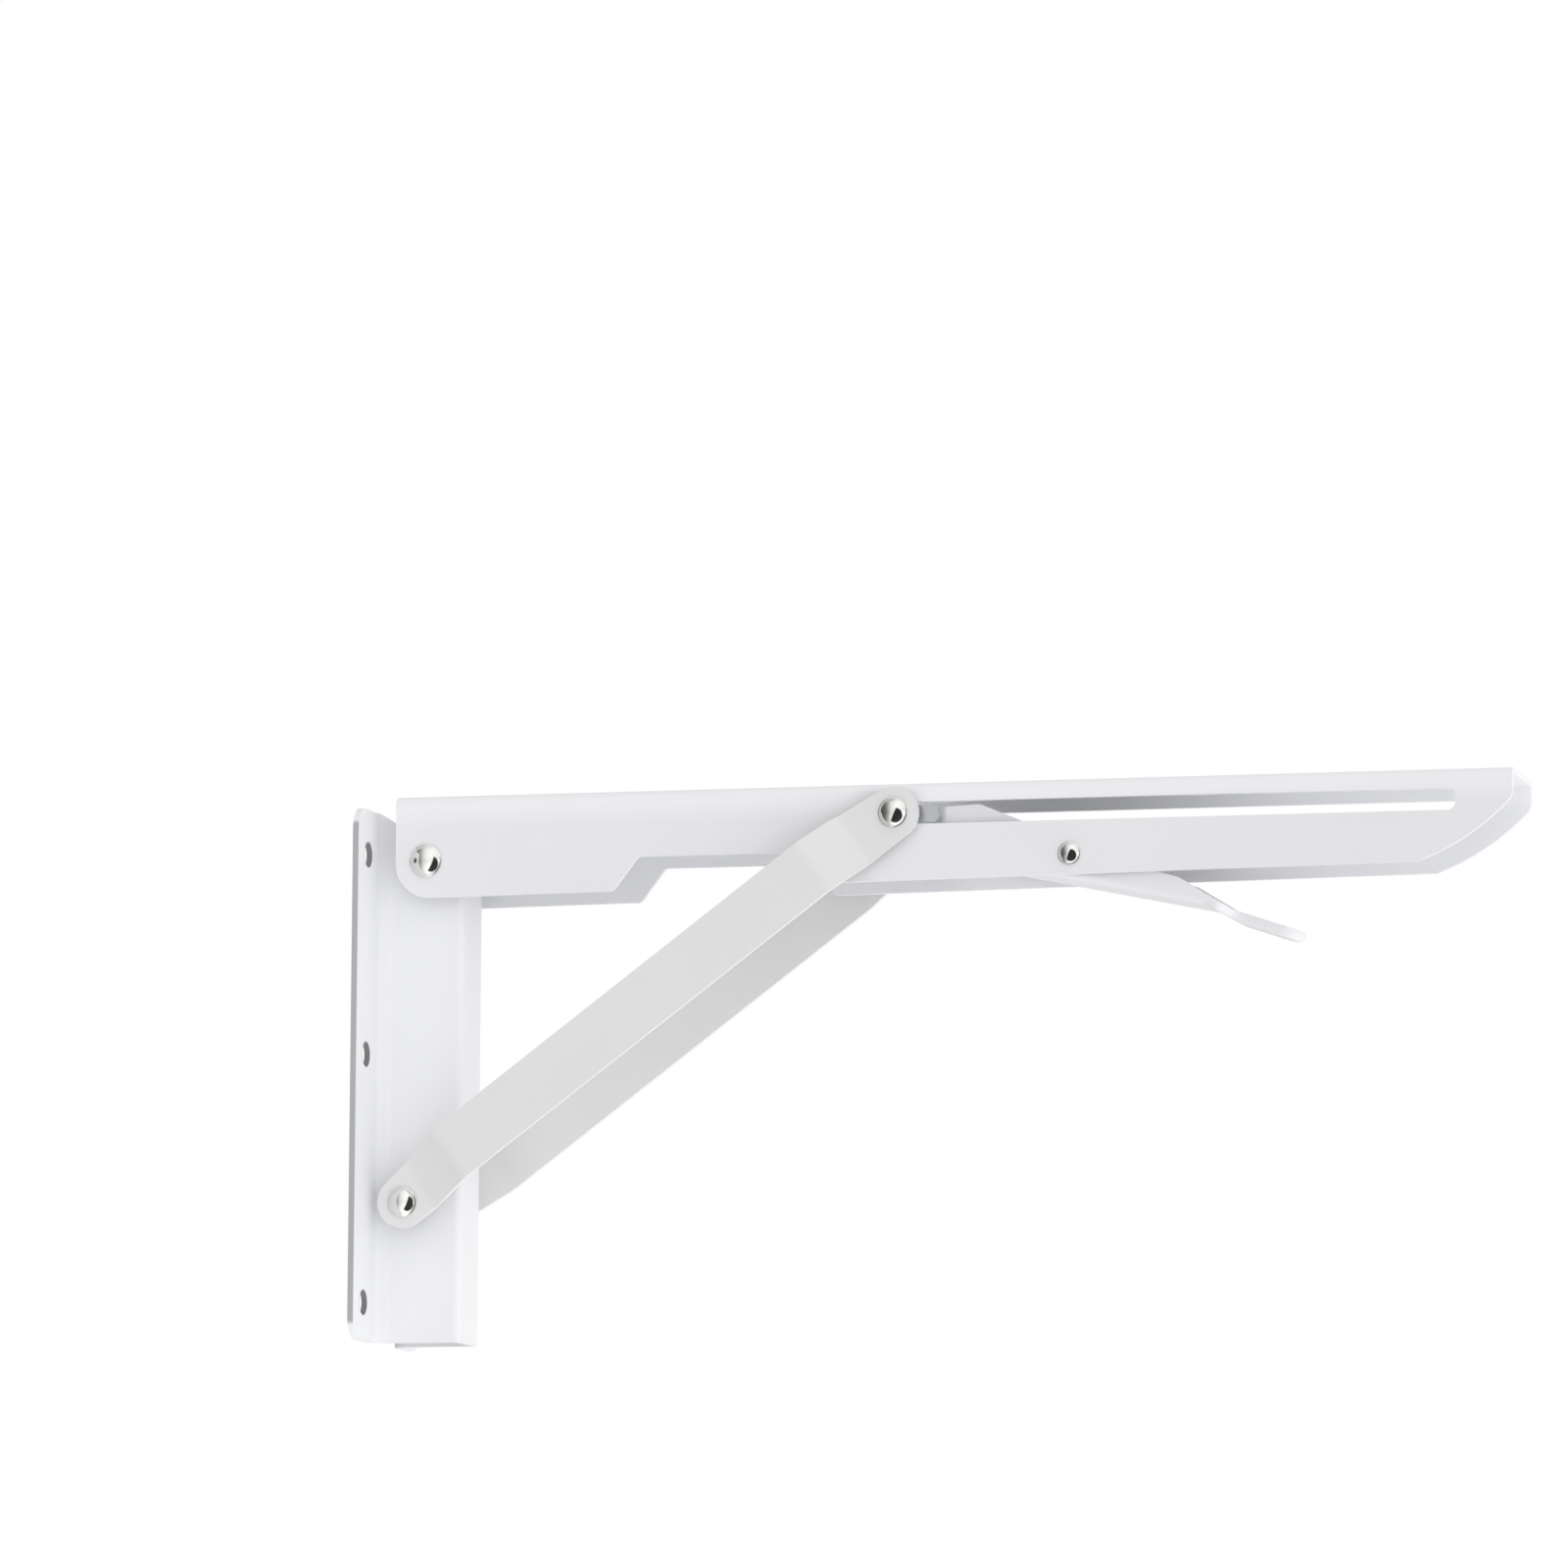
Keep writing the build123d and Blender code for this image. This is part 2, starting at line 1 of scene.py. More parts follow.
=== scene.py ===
# %% [markdown]
# # A white folding shelf bracket
# The real bracket is pressed steel: a wall plate, an arm that folds down, two brace plates,
# a release lever and bright rivets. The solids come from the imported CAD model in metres.
# This lesson gives the sheets their rounded, powder-coated edges, turns new rivet heads,
# shortens one leg of the lever's spring and sets a plain studio round the bracket. Everything
# is at its place in the mesh, so nothing is moved.

from math import radians

import bmesh
import bpy
import numpy as np
from mathutils import Matrix, Vector


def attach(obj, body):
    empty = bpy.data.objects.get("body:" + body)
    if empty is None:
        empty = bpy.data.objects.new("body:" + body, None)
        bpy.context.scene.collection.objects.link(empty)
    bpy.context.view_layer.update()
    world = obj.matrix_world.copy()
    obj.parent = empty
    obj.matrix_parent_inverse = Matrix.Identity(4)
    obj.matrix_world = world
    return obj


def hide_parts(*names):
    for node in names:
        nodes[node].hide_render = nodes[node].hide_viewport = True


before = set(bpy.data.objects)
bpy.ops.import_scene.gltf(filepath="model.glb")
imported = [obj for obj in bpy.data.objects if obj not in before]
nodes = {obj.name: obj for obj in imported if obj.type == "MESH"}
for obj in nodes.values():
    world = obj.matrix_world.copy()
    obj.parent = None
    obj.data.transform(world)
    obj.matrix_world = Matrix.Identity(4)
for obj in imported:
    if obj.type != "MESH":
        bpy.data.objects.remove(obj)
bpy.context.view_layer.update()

# %% [markdown]
# ## The places that the pieces share
# The near side is at negative Y. Lengths are in metres. The arm's pivot is the corner that the
# other places are counted from, as on the real bracket, where the arm and the brace are
# riveted to the wall plate and meet in the arm's slot.

# %% Shared places
mm = 0.001
arm_pivot = np.array([15.4, 0.0, 58.0]) * mm
brace_pivot = np.array([10.4, 0.0, -32.6]) * mm
slide_pin = arm_pivot + np.array([128.5, 0.0, 9.1]) * mm
lever_pivot = arm_pivot + np.array([174.9, 0.0, -2.3]) * mm
print("arm pivot", arm_pivot, "slide pin", slide_pin)


# %% Put something into the scene
def add_object(name, data):
    """An object of the scene that shows a mesh, a lamp or a camera."""
    added = bpy.data.objects.new(name, data)
    bpy.context.scene.collection.objects.link(added)
    return added


# %% [markdown]
# ## The camera
# The picture was taken from a little below the bracket and from its open side, with a long
# lens. A camera needs a place, three directions and a focal length. The directions come from a
# turn about the upright axis, a tilt and a small roll, and the focal length in pixels becomes
# millimetres on a 36 mm sensor.

# %% Camera
picture_pixels = 1600
focal_pixels = 9275.2
camera_distance = 2.4
look_at = np.array([109.59, 0.0, 77.84]) * mm
turn, tilt, roll = np.radians([14.929, 7.2585, 0.344])

forward = np.array([-np.sin(turn) * np.cos(tilt), np.cos(turn) * np.cos(tilt), np.sin(tilt)])
right = np.array([np.cos(turn), np.sin(turn), 0.0])
up = np.cross(right, forward)
rolled_right = right * np.cos(roll) + up * np.sin(roll)
rolled_up = up * np.cos(roll) - right * np.sin(roll)

lens = bpy.data.cameras.new("camera")
lens.sensor_width = 36.0
lens.lens = focal_pixels / picture_pixels * lens.sensor_width
camera = add_object("camera", lens)
camera_place = look_at - forward * camera_distance
directions = Matrix(np.column_stack([rolled_right, rolled_up, -forward]).tolist())
camera.matrix_world = Matrix.Translation(Vector(camera_place)) @ directions.to_4x4()
bpy.context.scene.camera = camera
print("focal length in millimetres:", round(lens.lens, 2))

# %% [markdown]
# ## White powder coat
# The sheets are sprayed with powder and baked, which leaves a hard, half-glossy film with a
# fine ripple called orange peel. Two noises make it: a wide one for the ripple and a finer one
# for the grain of the powder. Both drive a bump, and the finer one also shifts the gloss a
# little. A third, much wider noise clouds the tint by about one percent. All read Object
# coordinates, so the pattern stays on the steel when a piece turns.


# %% Helpers for materials
def new_material(name):
    """A new node material with its node tree and its Principled shader."""
    material = bpy.data.materials.new(name)
    material.use_nodes = True
    tree = material.node_tree
    shader = tree.nodes["Principled BSDF"]
    return material, tree, shader


def noise(tree, size, detail, roughness=0.5):
    """A noise whose blobs are about the given size, in metres, on Object coordinates."""
    place_node = tree.nodes.new("ShaderNodeTexCoord")
    texture = tree.nodes.new("ShaderNodeTexNoise")
    texture.inputs["Scale"].default_value = 1.0 / size
    texture.inputs["Detail"].default_value = detail
    texture.inputs["Roughness"].default_value = roughness
    tree.links.new(place_node.outputs["Object"], texture.inputs["Vector"])
    return texture.outputs["Fac"]


def ramp(tree, value, low, high, at_low, at_high):
    """Map a value between two limits onto two numbers, and hold it at them beyond the limits."""
    mapping = tree.nodes.new("ShaderNodeMapRange")
    mapping.inputs["From Min"].default_value = low
    mapping.inputs["From Max"].default_value = high
    mapping.inputs["To Min"].default_value = at_low
    mapping.inputs["To Max"].default_value = at_high
    tree.links.new(value, mapping.inputs["Value"])
    return mapping.outputs["Result"]


def blend_colours(tree, value, first, second):
    """A colour between two colours, by a value from 0 to 1."""
    mixer = tree.nodes.new("ShaderNodeMix")
    mixer.data_type = "RGBA"
    mixer.inputs["A"].default_value = (*first, 1.0)
    mixer.inputs["B"].default_value = (*second, 1.0)
    tree.links.new(value, mixer.inputs["Factor"])
    return mixer.outputs["Result"]


def add_bump(tree, shader, height, distance, strength):
    """Raise the surface by a height map, and feed an earlier bump through."""
    bump = tree.nodes.new("ShaderNodeBump")
    bump.inputs["Distance"].default_value = distance
    bump.inputs["Strength"].default_value = strength
    tree.links.new(height, bump.inputs["Height"])
    if shader.inputs["Normal"].is_linked:
        tree.links.new(shader.inputs["Normal"].links[0].from_socket, bump.inputs["Normal"])
    tree.links.new(bump.outputs["Normal"], shader.inputs["Normal"])


# %% White powder coat
def powder_coat(name, tint, roughness):
    """Half-glossy white film: wide ripple, fine grain and a slight change of gloss."""
    cloud_size, ripple_size, grain_size = 0.018, 0.0022, 0.0009
    ripple_height, grain_height = 0.00002, 0.000008
    bump_strength = 0.6
    lighter_share = 1.012
    material, tree, shader = new_material(name)
    cloud = noise(tree, cloud_size, detail=3.0)
    grain = noise(tree, grain_size, detail=2.0)
    light_tint = tuple(channel * lighter_share for channel in tint)
    clear_cloud = ramp(tree, cloud, 0.35, 0.65, 0.0, 1.0)
    tree.links.new(blend_colours(tree, clear_cloud, tint, light_tint), shader.inputs["Base Color"])
    grainy_gloss = ramp(tree, grain, 0.3, 0.7, roughness - 0.03, roughness + 0.04)
    tree.links.new(grainy_gloss, shader.inputs["Roughness"])
    ripple = noise(tree, ripple_size, detail=1.0)
    add_bump(tree, shader, ripple, ripple_height, bump_strength)
    add_bump(tree, shader, grain, grain_height, bump_strength)
    return material


# The three coats are one white. It is set darker on the brace as painted shade, and lighter on the
# wall plate as painted light.
arm_paint = powder_coat("arm_powder_coat", (0.798, 0.802, 0.822), roughness=0.42)
brace_paint = powder_coat("brace_powder_coat", (0.742, 0.742, 0.742), roughness=0.42)
wall_paint = powder_coat("wall_powder_coat", (0.840, 0.844, 0.864), roughness=0.40)
print("powder coats:", arm_paint.name, brace_paint.name, wall_paint.name)

# %% [markdown]
# ## Painted shade on the wall plate
# The screw holes and the plate's side edges are given a darker colour than the flat sheet, as
# painted shade. It stands in for the wall that the plate is screwed to, which keeps light out of
# the holes and off the backs of the edges.
# The holes are mirrored in the middle plane, so the mask reads the distance from a hole's axis with
# the side left out:
# sqrt((|y| - 21 mm)^2 + (z - hole height)^2).


# %% Helpers for masks
def scale_colour(tree, shader, mask, share):
    """Multiply the base colour by the given share where the mask is 1."""
    colour = shader.inputs["Base Color"].links[0].from_socket
    scaled = tree.nodes.new("ShaderNodeVectorMath")
    scaled.operation = "SCALE"
    tree.links.new(colour, scaled.inputs[0])
    tree.links.new(ramp(tree, mask, 0.0, 1.0, 1.0, share), scaled.inputs["Scale"])
    tree.links.new(scaled.outputs["Vector"], shader.inputs["Base Color"])


def side_free_place(tree):
    """The vector (0, |y|, z) of the Object coordinates, and |y| by itself."""
    place_node = tree.nodes.new("ShaderNodeTexCoord")
    whole = tree.nodes.new("ShaderNodeVectorMath")
    whole.operation = "ABSOLUTE"
    tree.links.new(place_node.outputs["Object"], whole.inputs[0])
    positive = tree.nodes.new("ShaderNodeSeparateXYZ")
    tree.links.new(whole.outputs["Vector"], positive.inputs["Vector"])
    signed = tree.nodes.new("ShaderNodeSeparateXYZ")
    tree.links.new(place_node.outputs["Object"], signed.inputs["Vector"])
    joined = tree.nodes.new("ShaderNodeCombineXYZ")
    tree.links.new(positive.outputs["Y"], joined.inputs["Y"])
    tree.links.new(signed.outputs["Z"], joined.inputs["Z"])
    return joined.outputs["Vector"], positive.outputs["Y"]


# %% Darken the holes and the cut edges
hole_side, hole_radius = 21.0 * mm, 3.2 * mm
dark_radius, clear_radius = hole_radius + 0.1 * mm, hole_radius + 0.35 * mm
plate_half_width = 30.0 * mm
edge_start, edge_full = plate_half_width - 0.5 * mm, plate_half_width - 0.15 * mm
# Painted shade: these shares darken the base colour in the holes and at the cut edges.
hole_shade_share, edge_shade_share = 0.26, 0.50

wall_tree = wall_paint.node_tree
wall_shader = wall_tree.nodes["Principled BSDF"]
folded_place, side_distance = side_free_place(wall_tree)
for hole_height in (59.25 * mm, 6.25 * mm, -59.25 * mm):
    measure = wall_tree.nodes.new("ShaderNodeVectorMath")
    measure.operation = "DISTANCE"
    measure.inputs[1].default_value = (0.0, hole_side, hole_height)
    wall_tree.links.new(folded_place, measure.inputs[0])
    hole_shade_mask = ramp(wall_tree, measure.outputs["Value"], dark_radius, clear_radius, 1.0, 0.0)
    scale_colour(wall_tree, wall_shader, hole_shade_mask, hole_shade_share)
edge_shade_mask = ramp(wall_tree, side_distance, edge_start, edge_full, 0.0, 1.0)
scale_colour(wall_tree, wall_shader, edge_shade_mask, edge_shade_share)
print("painted shade within", dark_radius, "m of a hole's axis and", edge_full, "m off the middle")

# %% [markdown]
# ## Painted light at the top fold
# The arm's top few millimetres are painted a little brighter than the wall below them, as painted
# light on the fold.
# The same multiplication does it, with a share above 1. The lever has the same paint, and only its
# nose, inside the arm, reaches high enough to share it.

# %% Brighten the arm's top fold
# Painted light: the share raises the base colour of the top fold.
fold_start, fold_full = 66.5 * mm, 72.0 * mm
fold_light_share = 1.08
arm_tree = arm_paint.node_tree
arm_place = arm_tree.nodes.new("ShaderNodeTexCoord")
arm_height = arm_tree.nodes.new("ShaderNodeSeparateXYZ")
arm_tree.links.new(arm_place.outputs["Object"], arm_height.inputs["Vector"])
fold_light_mask = ramp(arm_tree, arm_height.outputs["Z"], fold_start, fold_full, 0.0, 1.0)
scale_colour(arm_tree, arm_tree.nodes["Principled BSDF"], fold_light_mask, fold_light_share)

# %% [markdown]
# ## Metals
# The rivets are nickel plated and polished, so they mirror the studio. Spacers, washers and
# slide blocks are dull zinc-plated steel, and the lever's spring is drawn wire. A metal needs
# little colour: its look comes from roughness, and from fine scratches in the bump.


# %% Metals
def plated_metal(name, tint, roughness, scratch_size, scratch_depth):
    """Metal with a slightly cloudy gloss and fine random scratches."""
    cloud_size, darker_share, bump_strength = 0.0025, 0.93, 0.5
    material, tree, shader = new_material(name)
    shader.inputs["Metallic"].default_value = 1.0
    cloud = noise(tree, cloud_size, detail=3.0)
    darker = tuple(channel * darker_share for channel in tint)
    tree.links.new(blend_colours(tree, cloud, darker, tint), shader.inputs["Base Color"])
    cloudy_gloss = ramp(tree, cloud, 0.3, 0.7, roughness * 0.8, roughness * 1.25)
    tree.links.new(cloudy_gloss, shader.inputs["Roughness"])
    scratches = noise(tree, scratch_size, detail=4.0, roughness=0.7)
    add_bump(tree, shader, scratches, scratch_depth, bump_strength)
    return material


nickel = plated_metal(
    "polished_nickel", (0.83, 0.825, 0.80),
    roughness=0.10, scratch_size=0.0012, scratch_depth=0.000006,
)
zinc = plated_metal(
    "dull_zinc_plate", (0.66, 0.68, 0.70),
    roughness=0.38, scratch_size=0.0006, scratch_depth=0.000012,
)
spring_wire_metal = plated_metal(
    "drawn_spring_wire", (0.36, 0.36, 0.37),
    roughness=0.32, scratch_size=0.0004, scratch_depth=0.00001,
)

# %% [markdown]
# ## Sheets with rounded edges
# Stamped and coated sheet has no sharp edge: paint and the press round it by a few tenths of
# a millimetre, and that thin strip catches the light. The CAD solids have sharp edges, so each
# sheet is copied, its loose triangles are merged, flat areas are joined again, and a Bevel
# rounds every edge sharper than the small steps of the bends. Weighted normals keep the flat
# walls flat while the bends and the rounded edges shade smoothly.

# %% Copies of the CAD meshes
merge_distance = 0.000002


def open_copy(node, name):
    """A copy of a CAD mesh, opened for work, with the corners of its loose triangles merged."""
    mesh = nodes[node].data.copy()
    mesh.name = name
    work = bmesh.new()
    work.from_mesh(mesh)
    bmesh.ops.remove_doubles(work, verts=work.verts, dist=merge_distance)
    return mesh, work


def close_copy(mesh, work):
    """Write the work back into its mesh, with smooth shading."""
    for face in work.faces:
        face.smooth = True
    work.to_mesh(mesh)
    work.free()


# %% Round the edges of a sheet
same_plane = radians(0.4)
sharp_edge = radians(40)


def round_sheet(node, body, paint, edge):
    """Copy a CAD sheet, round its sharp edges by the given radius and let it stand for the node."""
    mesh, work = open_copy(node, node + "_coated")
    bmesh.ops.dissolve_limit(work, angle_limit=same_plane, verts=work.verts, edges=work.edges)
    close_copy(mesh, work)
    mesh.materials.clear()
    mesh.materials.append(paint)
    piece = add_object(node + "_coated", mesh)
    rounding = piece.modifiers.new("rounded edges", "BEVEL")
    rounding.width = edge
    rounding.segments = 3
    rounding.limit_method = "ANGLE"
    rounding.angle_limit = sharp_edge
    rounding.use_clamp_overlap = True
    shading = piece.modifiers.new("even shading", "WEIGHTED_NORMAL")
    shading.weight = 80
    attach(piece, body)
    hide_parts(node)
    print(piece.name, "faces before rounding:", len(mesh.polygons))


round_sheet("wall_plate", "wall", wall_paint, edge=0.50 * mm)
round_sheet("support_arm", "arm", arm_paint, edge=0.45 * mm)
round_sheet("release_lever", "lever", arm_paint, edge=0.30 * mm)
round_sheet("brace_plate_near", "brace", brace_paint, edge=0.40 * mm)
round_sheet("brace_plate_far", "brace", brace_paint, edge=0.40 * mm)

# %% [markdown]
# ## Rivets
# A rivet is turned round, so one outline carried about its axis makes it. The outline is a
# list of distances from the axis against places along it. The dome is an arc: its height above
# the rim follows a circle through the rim and the crown. The rim itself is rolled over by the
# riveting tool, so it has a small rounding where it meets the sheet.


# %% Turn an outline about the Y axis
def turned_piece(name, radius, along, centre, metal, turns=96):
    """Surface of revolution: each point of the outline goes round the Y axis through the centre.

    x = centre x + radius cos(angle), z = centre z + radius sin(angle), y = along. The first and
    the last point lie on the axis, and each is one shared vertex, so the surface is closed.
    """
    angle = np.linspace(0.0, 2.0 * np.pi, turns, endpoint=False)
    ring_x = centre[0] + radius[1:-1, None] * np.cos(angle)[None, :]
    ring_z = centre[2] + radius[1:-1, None] * np.sin(angle)[None, :]
    ring_y = np.repeat(along[1:-1, None], turns, axis=1)
    rings = np.stack([ring_x, ring_y, ring_z], axis=-1).reshape(-1, 3)
    poles = np.array([[centre[0], along[0], centre[2]], [centre[0], along[-1], centre[2]]])
    points = np.vstack([rings, poles])
    count = len(radius) - 2
    row = np.arange(count - 1)[:, None] * turns
    here = np.arange(turns)[None, :]
    ahead = (here + 1) % turns
    quads = np.stack([row + here, row + turns + here, row + turns + ahead, row + ahead], axis=-1)
    quads = quads.reshape(-1, 4)
    first_pole, last_pole = count * turns, count * turns + 1
    last_row = (count - 1) * turns
    first_fan = np.stack([np.full(turns, first_pole), here[0], ahead[0]], axis=-1)
    last_here, last_ahead = last_row + here[0], last_row + ahead[0]
    last_fan = np.stack([np.full(turns, last_pole), last_ahead, last_here], axis=-1)
    mesh = bpy.data.meshes.new(name)
    mesh.from_pydata(points.tolist(), [], quads.tolist() + first_fan.tolist() + last_fan.tolist())
    mesh.polygons.foreach_set("use_smooth", np.ones(len(mesh.polygons), bool))
    mesh.materials.append(metal)
    mesh.update()
    return add_object(name, mesh)


def dome_outline(seat, radius, height, rim, arc_steps=26, rim_steps=9):
    """Outline of a domed head on a seat, from its crown outwards and back in under its rim.

    The crown's arc has the radius (radius squared + rise squared) / (2 rise). The rim is a half
    circle of the rim's height, so the head has no sharp edge.
    """
    roll_radius = rim / 2
    flat = radius - roll_radius
    rise = height - rim
    ball = (flat**2 + rise**2) / (2 * rise)
    reach = np.linspace(0.0, flat, arc_steps)
    arc = seat + rim + rise - (ball - np.sqrt(ball**2 - reach**2))
    turn_angle = np.linspace(np.pi / 2, -np.pi / 2, rim_steps)[1:]
    rim_reach = flat + roll_radius * np.cos(turn_angle)
    rim_place = seat + roll_radius + roll_radius * np.sin(turn_angle)
    return np.concatenate([reach, rim_reach]), np.concatenate([arc, rim_place])


# %% Rivets through both sides
rolled_rim = 0.45 * mm
corner_ring = 0.1 * mm
arm_wall_seat, lower_ear_seat = 14.55 * mm, 16.35 * mm


def through_rivet(node, body, centre, shank, radius, height, seat):
    """A shank with a domed head at each end, the same on the near and the far side.

    A second ring just under each head keeps the smooth shading of the corner off the long shank.
    """
    reach, place_along = dome_outline(seat, radius, height, rolled_rim)
    neck_reach = np.array([shank, shank, shank, shank])
    neck_along = np.array([seat, seat - corner_ring, corner_ring - seat, -seat])
    outline_reach = np.concatenate([reach, neck_reach, reach[::-1]])
    outline_along = np.concatenate([place_along, neck_along, -place_along[::-1]])
    piece = turned_piece(node + "_head", outline_reach, -outline_along, centre, nickel)
    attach(piece, body)
    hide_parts(node)
    print(piece.name, "reaches", round(float(outline_along.max() / mm), 2), "mm to each side")


through_rivet(
    "arm_pivot_rivet", "wall", arm_pivot,
    shank=3.0 * mm, radius=4.4 * mm, height=2.6 * mm, seat=arm_wall_seat,
)
through_rivet(
    "brace_pivot_rivet", "wall", brace_pivot,
    shank=2.5 * mm, radius=4.0 * mm, height=2.4 * mm, seat=lower_ear_seat,
)
through_rivet(
    "lever_rivet", "arm", lever_pivot,
    shank=2.0 * mm, radius=3.0 * mm, height=1.9 * mm, seat=arm_wall_seat,
)


# %% Heads of the slide pins
def slide_head(node, side):
    """A domed head on one brace ear, with its short shank, on the near (-1) or far (1) side."""
    seat, shank_end = 18.35 * mm, 16.85 * mm
    shank, radius, height = 2.5 * mm, 3.9 * mm, 2.5 * mm
    reach, place_along = dome_outline(seat, radius, height, rolled_rim)
    neck_reach = np.array([shank, shank, shank, shank, 0.0])
    neck_along = np.array([seat, seat - corner_ring, shank_end + corner_ring, shank_end, shank_end])
    outline_reach = np.concatenate([reach, neck_reach])
    outline_along = np.concatenate([place_along, neck_along])
    if side > 0:
        outline_reach, outline_along = outline_reach[::-1], outline_along[::-1]
    piece = turned_piece(node + "_head", outline_reach, side * outline_along, slide_pin, nickel)
    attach(piece, "brace")
    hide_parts(node)
    print(piece.name, "sits", round(seat / mm, 2), "mm off the middle plane")


slide_head("slide_rivet_near", -1)
slide_head("slide_rivet_far", 1)

# %% [markdown]
# ## The hidden steel
# Spacers, washers, blocks, pins, the lever's sleeve and its spring have the right shape in the
# CAD model already. They only get their metal, in the first material slot of each mesh.

# %% Metal for the CAD pieces that stay
zinc_nodes = [
    "arm_pivot_spacer_near",
    "arm_pivot_spacer_far",
    "brace_pivot_spacer_near",
    "brace_pivot_spacer_far",
    "slide_block_near",
    "slide_block_far",
    "slide_washer_near",
    "slide_washer_far",
    "slide_pin_near",
    "slide_pin_far",
    "lever_sleeve",
]
for node_name in zinc_nodes:
    nodes[node_name].data.materials.clear()
    nodes[node_name].data.materials.append(zinc)
nodes["lever_spring"].data.materials.clear()
nodes["lever_spring"].data.materials.append(spring_wire_metal)
print("zinc on", len(zinc_nodes), "pieces")

# %% [markdown]
# ## The spring's leg
# One leg of the lever's spring lies on the lever's web and bends up with it when the lever is
# pressed. A rigid piece can't bend, and at its full length it would come out under the pressed
# lever. The copy's leg ends early instead. The leg is straight, so with d its direction, a point
# whose distance s along d passes the wanted reach moves back by (s - reach) d.

# %% Shorten the leg
leg_slope = radians(14.4)
leg_reach = 7.0 * mm
leg_ceiling = -4.5 * mm
leg_direction = Vector((np.cos(leg_slope), 0.0, -np.sin(leg_slope)))
wire_mesh, wire_work = open_copy("lever_spring", "lever_spring_wire")
moved = 0
for point in wire_work.verts:
    from_pivot = point.co - Vector(lever_pivot)
    past_reach = from_pivot.dot(leg_direction) - leg_reach
    if from_pivot.z < leg_ceiling and from_pivot.y < 0.0 and past_reach > 0.0:
        point.co -= leg_direction * past_reach
        moved += 1
close_copy(wire_mesh, wire_work)
spring_wire = add_object("lever_spring_wire", wire_mesh)
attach(spring_wire, "arm")
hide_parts("lever_spring")
print("points moved on the leg:", moved)

# %% [markdown]
# ## The studio
# The photo's light fits a white tent that is open to the room on the wall plate's side: light
# comes from everywhere, least from there, and more from below, where the tent's floor is lit,
# and from the camera's side. The background's level for a ray depends on the ray's direction d:
#
# level(d) = tent_level * shade(d.x) + floor_glow * max(0, -d.z) + front_glow * max(0, -d.y)
#            + roof_glow * max(0, d.z)
#
# where shade rises from dark_side at the wall's side to 1. Mirror rays also find one dark gap in
# the roof, which polished heads show as a small mark, and a darker room on the wall plate's side,
# which greys their left rims. The camera sees pure white.

# %% World
tent_level, floor_glow, front_glow, roof_glow, dark_side = 0.88, 0.55, 0.22, 0.30, 0.20
shade_start, shade_end = -0.85, 0.3
gap_direction = (-0.22, 0.37, 0.90)
gap_half_angle, gap_softness, gap_darkness = 9, 6, 0.9
room_full, room_end, room_darkness = -0.75, -0.25, 0.6

world = bpy.data.worlds.new("white_tent")
bpy.context.scene.world = world
world.use_nodes = True
tree = world.node_tree
tree.nodes.clear()
direction = tree.nodes.new("ShaderNodeTexCoord").outputs["Generated"]
direction_parts = tree.nodes.new("ShaderNodeSeparateXYZ")
tree.links.new(direction, direction_parts.inputs["Vector"])


def round_patch(centre_direction, half_angle, softness):
    """1 inside a round patch of the world about a direction, 0 outside it, soft at its edge."""
    aim = np.array(centre_direction, float)
    aim = aim / np.linalg.norm(aim)
    dot = tree.nodes.new("ShaderNodeVectorMath")
    dot.operation = "DOT_PRODUCT"
    dot.inputs[1].default_value = aim
    tree.links.new(direction, dot.inputs[0])
    inner, outer = np.cos(np.radians([half_angle, half_angle + softness]))
    return ramp(tree, dot.outputs["Value"], float(outer), float(inner), 0.0, 1.0)


def math_node(operation, first, second):
    """One Math node on two sockets or numbers."""
    node = tree.nodes.new("ShaderNodeMath")
    node.operation = operation
    for socket, value in zip(node.inputs, (first, second)):
        if isinstance(value, (int, float)):
            socket.default_value = value
        else:
            tree.links.new(value, socket)
    return node.outputs["Value"]


side_shade = ramp(tree, direction_parts.outputs["X"], shade_start, shade_end, dark_side, 1.0)
from_below = ramp(tree, direction_parts.outputs["Z"], -1.0, 0.0, floor_glow, 0.0)
from_front = ramp(tree, direction_parts.outputs["Y"], -1.0, 0.0, front_glow, 0.0)
from_above = ramp(tree, direction_parts.outputs["Z"], 0.0, 1.0, 0.0, roof_glow)
tent = math_node("ADD", math_node("MULTIPLY", side_shade, tent_level), from_below)
tent = math_node("ADD", math_node("ADD", tent, from_front), from_above)

rays = tree.nodes.new("ShaderNodeLightPath")
roof_gap = round_patch(gap_direction, gap_half_angle, gap_softness)
room_side = ramp(tree, direction_parts.outputs["X"], room_full, room_end, room_darkness, 0.0)
dark_places = math_node("MAXIMUM", math_node("MULTIPLY", roof_gap, gap_darkness), room_side)
mirror_dark = math_node("MULTIPLY", rays.outputs["Is Glossy Ray"], dark_places)
level = math_node("MULTIPLY", tent, math_node("SUBTRACT", 1.0, mirror_dark))

seen, through_glass = rays.outputs["Is Camera Ray"], rays.outputs["Is Transmission Ray"]
plain_white = math_node("MAXIMUM", seen, through_glass)
rest_level = math_node("MULTIPLY", level, math_node("SUBTRACT", 1.0, plain_white))
background = tree.nodes.new("ShaderNodeBackground")
background.inputs["Color"].default_value = (1.0, 1.0, 1.0, 1.0)
tree.links.new(math_node("ADD", rest_level, plain_white), background.inputs["Strength"])
output = tree.nodes.new("ShaderNodeOutputWorld")
tree.links.new(background.outputs["Background"], output.inputs["Surface"])
print("tent", tent_level, "floor", floor_glow, "front", front_glow, "roof", roof_glow)

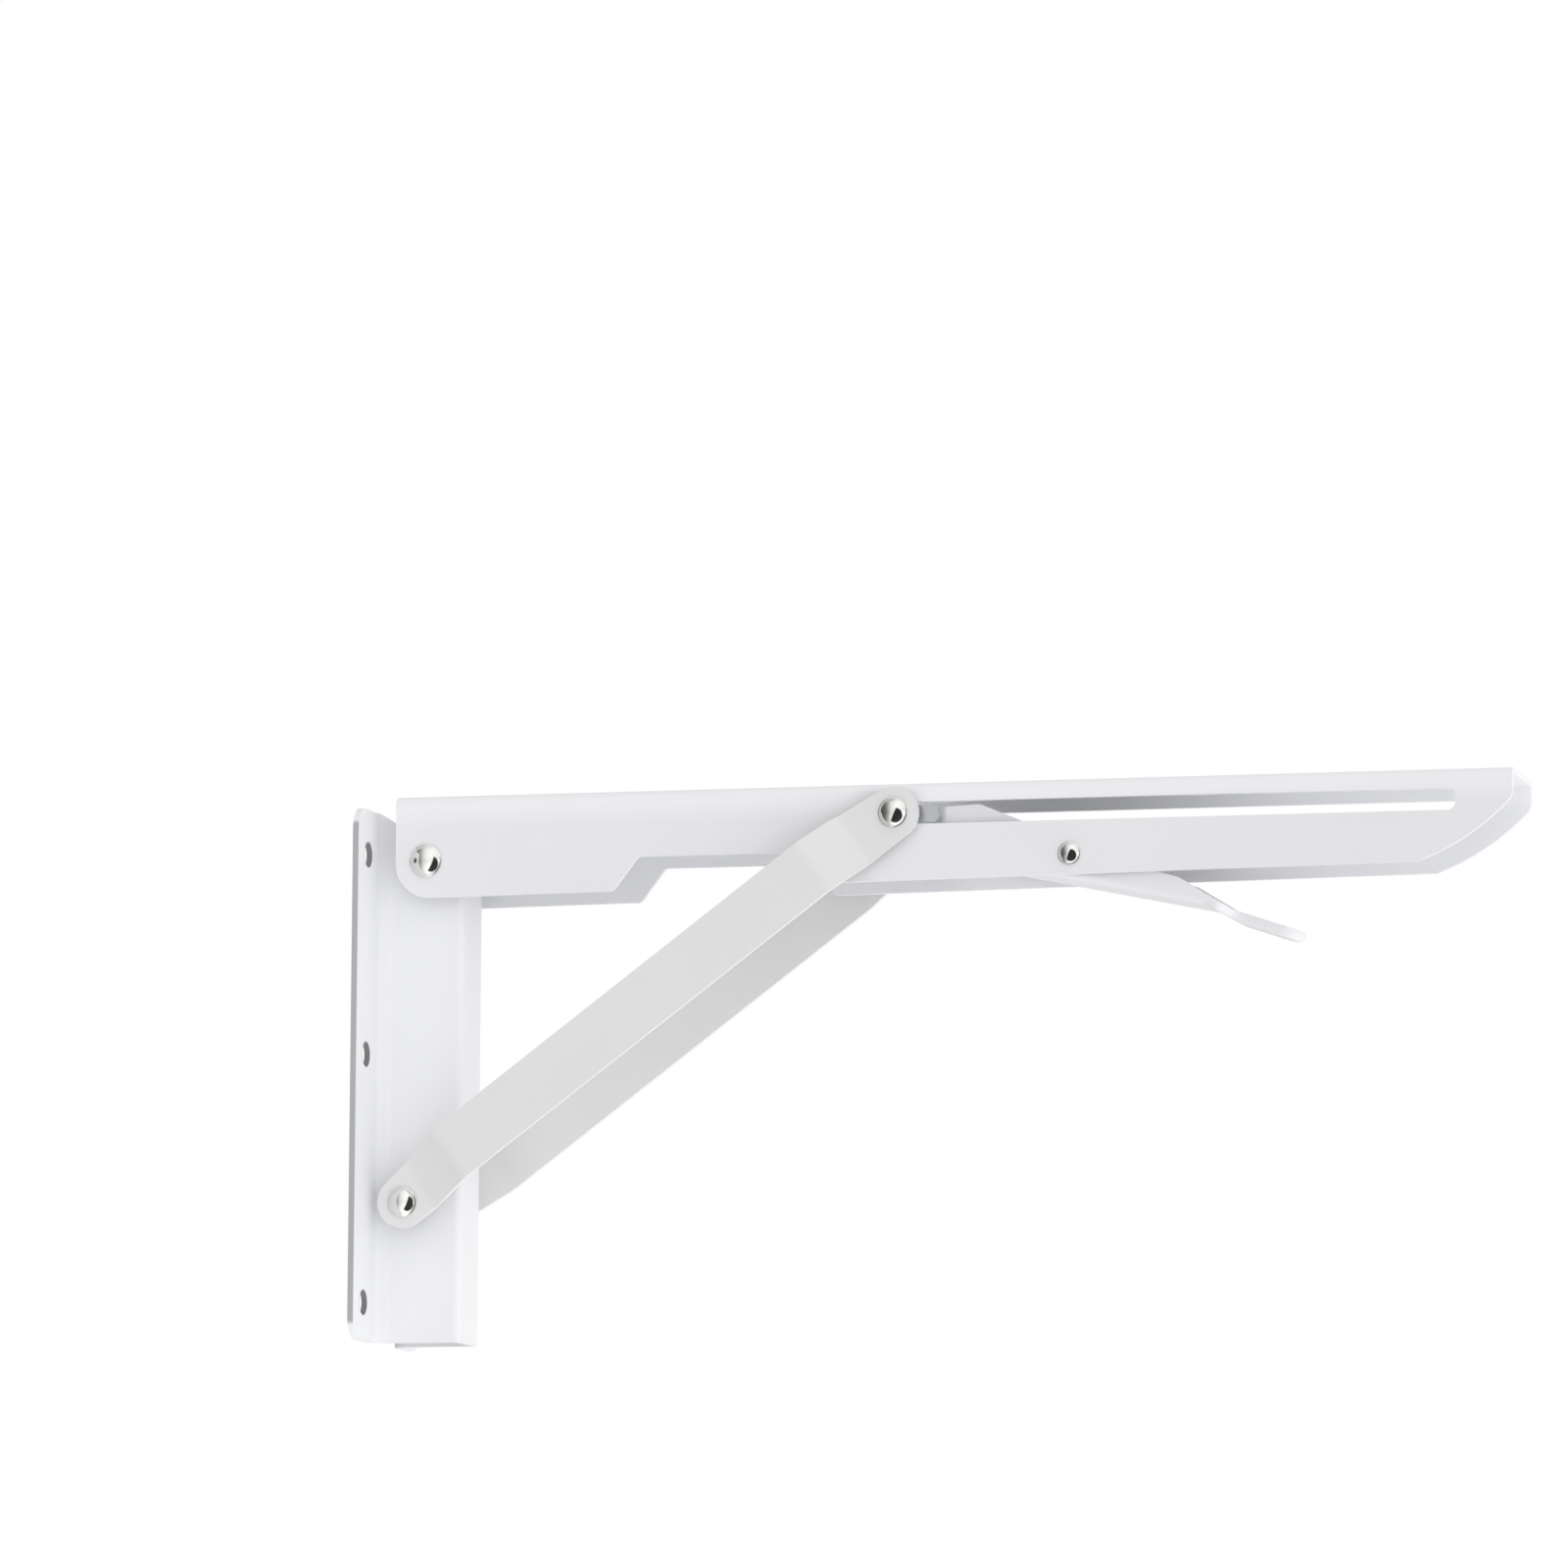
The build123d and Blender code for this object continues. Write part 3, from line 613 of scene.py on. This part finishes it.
# %% [markdown]
# ## A soft lamp
# The front of the wall plate's channel looks along the arm and is the brightest face of the
# bracket. A wide, weak lamp beyond the arm's tip lights it, and the faces beside it a little.

# %% Lamp
lamp_target = Vector((0.14, 0.0, 0.03))
lamp_place = lamp_target + Vector((2.9, -0.6, 0.0))
lamp_data = bpy.data.lights.new("open_side_lamp", "AREA")
lamp_data.shape = "SQUARE"
lamp_data.size = 1.4
lamp_data.energy = 2.5
lamp = add_object("open_side_lamp", lamp_data)
lamp_turn = (lamp_target - lamp_place).to_track_quat("-Z", "Y").to_matrix().to_4x4()
lamp.matrix_world = Matrix.Translation(lamp_place) @ lamp_turn

# %% [markdown]
# ## A dark card
# Polished rivets look flat in an even tent, so a dark card, an oval with its upper left cut
# off, stands in front of the bracket, below its middle. It is near, so each rivet mirrors it at
# another place, as in the photo: the rivets at the wall plate show it at their right, the others
# lower down. A dome shrinks what it mirrors, as it turns a ray by twice its own slope, so the
# card is as wide as the bracket is long. Only mirror rays see it.

# %% Card
card_across, card_below, card_ahead = 0.175, 0.120, 0.230
oval_half_width, oval_half_height = 0.23, 0.29
oval_angles = np.linspace(radians(-150), radians(95), 48)
card_shade = 0.02

oval_middle = arm_pivot + right * card_across - up * card_below - forward * card_ahead
oval_across = oval_half_width * np.cos(oval_angles)
oval_upward = oval_half_height * np.sin(oval_angles)
oval_corners = oval_middle + np.outer(oval_across, right) + np.outer(oval_upward, up)
card_mesh = bpy.data.meshes.new("rivet_card")
card_mesh.from_pydata(oval_corners.tolist(), [], [list(range(len(oval_corners)))])
rivet_card = add_object("rivet_card", card_mesh)
card_paint, _, card_shader = new_material("rivet_card_paint")
card_shader.inputs["Base Color"].default_value = (card_shade, card_shade, card_shade, 1.0)
card_shader.inputs["Roughness"].default_value = 0.9
card_mesh.materials.append(card_paint)
rivet_card.visible_camera = False
rivet_card.visible_transmission = False
rivet_card.visible_diffuse = False
rivet_card.visible_shadow = False

# %% Plain view of the light
bpy.context.scene.view_settings.view_transform = "Standard"
